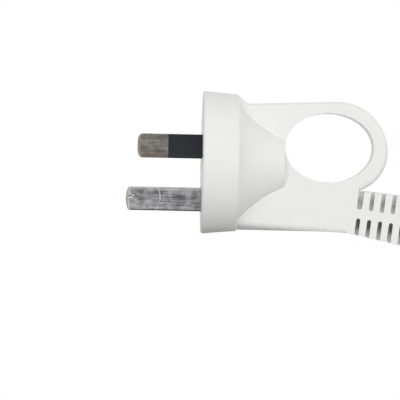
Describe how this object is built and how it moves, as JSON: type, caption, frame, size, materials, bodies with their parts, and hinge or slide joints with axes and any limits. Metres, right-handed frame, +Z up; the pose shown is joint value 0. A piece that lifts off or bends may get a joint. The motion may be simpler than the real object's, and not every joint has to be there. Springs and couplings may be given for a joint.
{
  "type": "extension lead",
  "caption": "White extension lead with a flat-bladed three-pin plug with an oval finger hole, a tied coil of round cord and a round socket",
  "frame": {"origin": "the centre of the pin pattern, on the plug's pin face", "axes": "+X from the pins towards the cord, level with the floor; the plug's own axis rises 2 degrees from it; +Z up, earth pin below the other two; +Y across the plug"},
  "size_m": [0.1929, 0.1112, 0.0745],
  "materials": {
    "white_overmould": "soft satin white overmoulding",
    "white_rigid": "satin white moulding",
    "pin_metal": "dull nickel over brass",
    "black_sleeve": "satin black insulation",
    "cord_sheath": "satin white flexible sheath",
    "tie": "satin black",
    "brown_core": "satin brown insulation",
    "blue_core": "satin light blue insulation",
    "green_yellow_core": "satin green and yellow insulation",
    "copper": "bright stranded copper",
    "contact_brass": "bare brass spring"
  },
  "bodies": {
    "root": {"plug_body": "white_overmould", "plug_pin_carrier": "white_rigid", "active_pin": "pin_metal", "neutral_pin": "pin_metal", "earth_pin": "pin_metal", "active_pin_sleeve": "black_sleeve", "neutral_pin_sleeve": "black_sleeve", "plug_sheath": "cord_sheath", "socket_sheath": "cord_sheath", "cord_plug_run": "cord_sheath", "cord_coil": "cord_sheath", "cord_socket_run": "cord_sheath", "coil_tie": "tie", "socket_body": "white_overmould", "socket_face_insert": "white_rigid", "socket_contact_cover": "white_rigid", "plug_active_core": "brown_core", "plug_active_conductor": "copper", "plug_neutral_core": "blue_core", "plug_neutral_conductor": "copper", "plug_earth_core": "green_yellow_core", "plug_earth_conductor": "copper", "socket_active_core": "brown_core", "socket_active_conductor": "copper", "socket_neutral_core": "blue_core", "socket_neutral_conductor": "copper", "socket_earth_core": "green_yellow_core", "socket_earth_conductor": "copper", "active_contact": "contact_brass", "neutral_contact": "contact_brass", "earth_contact": "contact_brass"}
  },
  "joints": []
}
